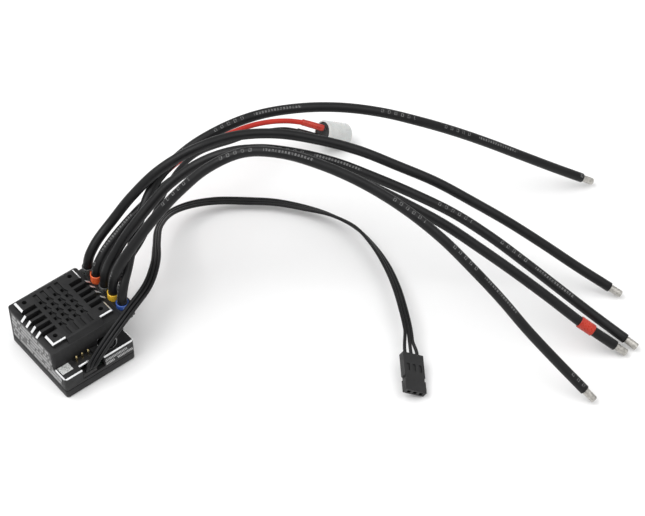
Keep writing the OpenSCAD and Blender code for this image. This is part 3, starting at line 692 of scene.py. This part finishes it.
def tinned_end(name, pos, direction):
    """Twisted strands under solder, cut off at the end."""
    strands, points, stations = 9, 54, 14
    bm = bmesh.new()
    side = direction.orthogonal().normalized()
    path = [pos + direction * (TINNED_L * i / stations) for i in range(stations + 1)]

    def outline(s):
        twist = s * 0.55
        ring = []
        for j in range(points):
            turn = 2 * math.pi * j / points
            bulge = abs(math.cos(strands * (turn + twist) / 2))
            r = TINNED_R * (0.86 + 0.14 * bulge)
            ring.append((r * math.cos(turn), r * math.sin(turn)))
        return ring

    add_sweep(bm, path, [side] * len(path), outline, round_end=0.35)
    node = name.replace("wire", "tinned")
    return finish(new_piece(node + "_strands", bm, replaces=(node,)), "tin")


def power_wire(name):
    """A power wire along its route, with its tinned end."""
    path = smooth_path(WIRES[name], WIRE_STEPS)
    bm = bmesh.new()
    ring = circle(WIRE_D / 2, 28)
    add_sweep(bm, path, [FLAT_REFERENCE] * len(path), lambda s: ring)
    wire = new_piece(name + "_cord", bm, replaces=(name,))
    finish(wire, MARKED.get(name, "wire"))
    tip = tinned_end(name, path[-1], (path[-1] - path[-2]).normalized())


def polarity_band():
    """The red sleeve near the end of the positive wire, a tenth along its last stretch."""
    inner, outer, half = WIRE_D / 2 + 0.02, WIRE_D / 2 + 0.4, 3.1
    a, b = (Vector(q) for q in WIRES["wire_positive"][-2:])
    matrix = aim(a + 0.1 * (b - a), b - a)
    bm = bmesh.new()
    add_lathe(bm, matrix, [
        (-half, inner), (-half, outer - 0.12), (-half + 0.12, outer), (-1, outer + 0.02),
        (0.6, outer - 0.03), (half - 0.12, outer), (half, outer - 0.12), (half, inner),
    ], closed=True)
    piece = new_piece("polarity_sleeve", bm, replaces=("polarity_band",))
    return finish(piece, "red")


band = polarity_band()
for wire_name in WIRES:
    power_wire(wire_name)

# ---------------------------------------------------------------- capacitor and its wires


def capacitor():
    """The film, which laps over both ends, the can with its scored end, and the bung."""
    matrix = placed(CAN_FACE, CAN_TURN, CAN_TILT)
    bm = bmesh.new()
    outer, r = CAN_R + 0.2, CAN_R
    add_lathe(bm, matrix, [
        (-0.4, r - 0.5), (-0.4, outer - 0.35), (-0.28, outer - 0.12), (0.1, outer),
        (1.2, outer - 0.02), (1.7, outer - 0.16), (2.2, outer - 0.02), (CAN_L - 0.3, outer),
        (CAN_L + 0.08, outer - 0.14), (CAN_L + 0.2, outer - 0.5), (CAN_L + 0.2, r - 0.9),
        (CAN_L + 0.02, r - 0.9), (CAN_L, r - 0.02), (0.02, r - 0.02), (0.0, r - 0.5),
    ], n=64, closed=True)
    sleeve = new_piece("capacitor_film", bm, replaces=("capacitor_sleeve",))
    finish(sleeve, "film")
    bm = bmesh.new()
    add_lathe(bm, matrix, [
        (1.0, 0), (1.0, r - 0.05), (CAN_L - 0.35, r - 0.05), (CAN_L - 0.02, r - 0.4),
        (CAN_L - 0.02, 0),
    ], n=64)
    for turn in (45, -45):
        bar = matrix @ Matrix.Rotation(math.radians(turn), 4, "X")
        add_box(bm, bar, (CAN_L - 0.06, -3.2, -0.12), (CAN_L + 0.02, 3.2, 0.12))
    can = new_piece("capacitor_cup", bm, replaces=("capacitor_can",))
    finish(can, "can")
    bm = bmesh.new()
    add_lathe(bm, matrix, [
        (0.25, 0), (0.25, 2.0), (0.02, 2.4), (0.02, r - 0.7), (0.2, r - 0.25), (1.0, r - 0.1),
        (1.0, 0),
    ], n=64)
    bung = new_piece("capacitor_seal", bm, replaces=("capacitor_bung",))
    finish(bung, "rubber")
    return [sleeve, can, bung]


def lug(side):
    """Where a lead's sleeve starts, above the can's axis for 1 and below it for -1."""
    turn, tilt = math.radians(CAN_TURN), math.radians(CAN_TILT)
    flat = Vector((math.cos(turn), math.sin(turn), 0.0))
    rise = Vector((0.0, 0.0, 1.0))
    axis = math.cos(tilt) * flat - math.sin(tilt) * rise
    up = math.sin(tilt) * flat + math.cos(tilt) * rise
    return CAN_FACE + side * LEAD_SPACING * up - SLEEVE_START * axis


def shrink_sleeve(name, start, end, key):
    """A lumpy sleeve over a lead and the end of its wire."""
    v = end - start
    n = v.length + 0.5
    bm = bmesh.new()
    add_lathe(bm, aim(start, v), [
        (0, 0), (0, 0.9), (0.25, 1.25), (1.2, 1.38), (2.4, 1.3), (4.0, 1.36), (n - 2.6, 1.34),
        (n - 1.2, 1.3), (n - 0.15, 1.33), (n, 1.25), (n, 0),
    ], n=32)
    return finish(new_piece(name + "_sleeve", bm, replaces=(name,)), key)


def capacitor_wire(name, key, extra=()):
    """One of the capacitor's wires along its route; extra is not used."""
    path = smooth_path(CAP_WIRES[name], WIRE_STEPS)
    bm = bmesh.new()
    ring = circle(CAP_WIRE_D / 2, 20)
    add_sweep(bm, path, [FLAT_REFERENCE] * len(path), lambda s: ring, round_end=0.2)
    wire = finish(new_piece(name + "_cord", bm, replaces=(name,)), key)


shrink_red = shrink_sleeve(
    "shrink_red", lug(1), Vector(CAP_WIRES["capacitor_wire_red"][-1]), "red"
)
shrink_black = shrink_sleeve(
    "shrink_black", lug(-1), Vector(CAP_WIRES["capacitor_wire_black"][-1]), "black_film",
)
capacitor_wire(
    "capacitor_wire_red", "wire_red",
    [*capacitor(), finish(nodes["capacitor_leads"], "tin")],
)
capacitor_wire("capacitor_wire_black", "wire_thin")

# ---------------------------------------------------------------- receiver lead and plug


def receiver_lead():
    """Three cores side by side, which part near the plug to reach its contacts."""
    path = smooth_path(LEAD, WIRE_STEPS)
    flats = blended(LEAD_FLAT, WIRE_STEPS)
    total = lengths(path)[-1]
    bm = bmesh.new()
    for core in (-1, 0, 1):
        parts_at, reach = (12, 11) if core == 1 else (7, 6)

        def outline(s, core=core, parts_at=parts_at, reach=reach):
            spread = min(max((s - total + parts_at) / reach, 0), 1)
            spread = spread * spread * (3 - 2 * spread)
            pitch = CORE_D - 0.02 + (PIN_PITCH - CORE_D) * spread
            return [(a + core * pitch, b) for a, b in circle(CORE_D / 2, 20)]

        add_sweep(bm, path, flats, outline, round_end=0.0)
    lead = new_piece("receiver_lead_cores", bm, replaces=("receiver_lead",))
    finish(lead, "lead")


finish(nodes["receiver_contacts"], "gold")
plug = finish(from_node("receiver_plug", 0.16), "plastic")
receiver_lead()

# ---------------------------------------------------------------- case


def bright_faces(piece):
    """Sloping faces of the upper shell that the cutter left bare: at the fan pads, the outer
    fins, the deck's front edge and the button's rim, but not in the middle grooves."""
    mesh = piece.data
    mesh.materials.clear()
    mesh.materials.append(MATERIAL["case"])
    mesh.materials.append(MATERIAL["bright"])
    for face in mesh.polygons:
        n = face.normal
        c = face.center / MM
        sloping = 0.35 < n.z < 0.9 and face.area > 0.02 * MM * MM
        on_pad = c.z > TOP_H - 2.1 and (abs(c.x - CASE_X) > 12.2 or c.y < -8.2)
        on_fin = c.z > SHOULDER_H and abs(c.x - CASE_X) > 13.0
        on_deck = DECK_H - 1.0 < c.z < DECK_H and c.y < -11.6
        from_button = math.hypot(c.x - BUTTON_X, c.y - BUTTON_Y)
        on_rim = DECK_H - 1.0 < c.z < DECK_H and from_button < 4.2
        in_grooves = abs(c.x - CASE_X) < 7 and c.z > SHOULDER_H - 1.5
        bare = (on_pad or on_fin or on_deck or on_rim) and not in_grooves
        if sloping and bare:
            face.material_index = 1


def paint_seam_shade(piece):
    """The gap between the shells gets a near-black material: painted shade in the seam."""
    finish(piece, "case")
    piece.data.materials.append(MATERIAL["seam"])
    for face in piece.data.polygons:
        if face.center.z / MM > BASE_H - 0.36:
            face.material_index = 1


def front_print():
    """Two rows of generic print on the deck's front face, right of the notch."""
    left, right, low, high = -0.6, 11.4, 5.2, 9.5
    y = -CASE_L / 2
    bm = bmesh.new()
    front = bm.faces.new([
        bm.verts.new((x, y, z))
        for x, z in ((left, low), (right, low), (right, high), (left, high))
    ])
    solid = bmesh.ops.extrude_face_region(bm, geom=[front])
    moved = [v for v in solid["geom"] if isinstance(v, bmesh.types.BMVert)]
    bmesh.ops.translate(bm, verts=moved, vec=(0, 0.05, 0))
    bmesh.ops.translate(bm, verts=bm.verts, vec=(0, -0.004, 0))
    finish(new_piece("front_print", bm), "front_print")


front_print()
bright_faces(from_node("top_case", 0.1))
paint_seam_shade(from_node("bottom_case", 0.06))
finish(nodes["side_label"], "band")
finish(nodes["deck_label"], "label")

# ---------------------------------------------------------------- terminal block and collars

COLLAR_LOW = 13.6
COLLAR_R = 2.4
COLLAR_BORE = 1.93
COLLARS = [
    ("collar_negative", 21.6, "clear"),
    ("collar_phase_a", 22.0, "orange"),
    ("collar_positive", 20.8, "clear"),
    ("collar_phase_b", 21.4, "yellow"),
    ("collar_phase_c", 20.6, "blue"),
]


def collar(name, y, top, key):
    """A coloured sleeve round a wire's foot."""
    outer, inner = COLLAR_R, COLLAR_BORE
    up = placed(Vector((POST_X, y, COLLAR_LOW)), 0, -90)
    h = top - COLLAR_LOW
    bm = bmesh.new()
    add_lathe(bm, up, [
        (0, inner), (0, outer), (h - 1.6, outer), (h - 0.6, outer - 0.05),
        (h - 0.2, outer - 0.02), (h - 0.05, outer - 0.06), (h, outer - 0.16),
        (h, inner + 0.12), (h - 0.08, inner + 0.03), (h - 0.3, inner),
    ], closed=True)
    finish(new_piece(name + "_sleeve", bm, replaces=(name,)), key)


for (collar_name, collar_top, collar_key), post_y in zip(COLLARS, POST_Y):
    collar(collar_name, post_y, collar_top, collar_key)
finish(from_node("terminal_block", 0.12), "plastic")
finish(from_node("lead_grommet", 0.15), "rubber")
finish(from_node("fan_pins", 0.06), "gold")
finish(from_node("set_button", 0.15, body="button"), "plastic")

for node_name, key in {
    "case_screws": "screw",
    "control_board": "board",
    "board_spacers": "gold",
    "power_board": "board",
    "microcontroller": "chip",
    "gate_drivers": "chip",
    "regulator_coil": "chip",
    "mosfets": "chip",
    "thermal_pad": "thermal",
    "link_header": "plastic",
    "link_pins": "gold",
    "fan_header": "plastic",
    "set_switch": "plastic",
    "solder_posts": "tin",
    "solder_fill": "tin",
}.items():
    finish(nodes[node_name], key)

# ---------------------------------------------------------------- floor and light


def floor():
    s = Shader("floor_white")
    shade = s.ramp(s.noise(2.0), 0.3, 0.7)
    s.set(
        Base_Color=s.mix(shade, colour(0.86, 0.86, 0.86), colour(0.88, 0.88, 0.88)),
        Roughness=0.9,
    )
    bm = bmesh.new()
    bmesh.ops.create_grid(bm, x_segments=1, y_segments=1, size=3.0)
    mesh = bpy.data.meshes.new("floor")
    bm.to_mesh(mesh)
    bm.free()
    mesh.materials.append(s.material)
    plane = bpy.data.objects.new("floor", mesh)
    plane.location = (0.08, -0.05, 0.0)
    bpy.context.scene.collection.objects.link(plane)


def area_light(name, location, size, power, target):
    data = bpy.data.lights.new(name, "AREA")
    data.shape = "RECTANGLE"
    data.size, data.size_y = size
    data.energy = power
    light = bpy.data.objects.new(name, data)
    light.location = location
    direction = Vector(location) - Vector(target)
    light.rotation_euler = direction.to_track_quat("Z", "Y").to_euler()
    bpy.context.scene.collection.objects.link(light)


def world(strength):
    studio = bpy.data.worlds.new("studio")
    studio.use_nodes = True
    background = studio.node_tree.nodes["Background"]
    background.inputs["Color"].default_value = colour(1.0, 1.0, 1.0)
    background.inputs["Strength"].default_value = strength
    bpy.context.scene.world = studio


floor()
world(0.75)
lit_point = (0.06, -0.05, 0.02)
area_light("key", (-0.35, 0.20, 0.95), (0.9, 0.7), 7.0, lit_point)
area_light("fill", (0.35, -0.45, 0.95), (0.9, 0.7), 3.0, lit_point)
bpy.context.scene.view_settings.view_transform = "Standard"
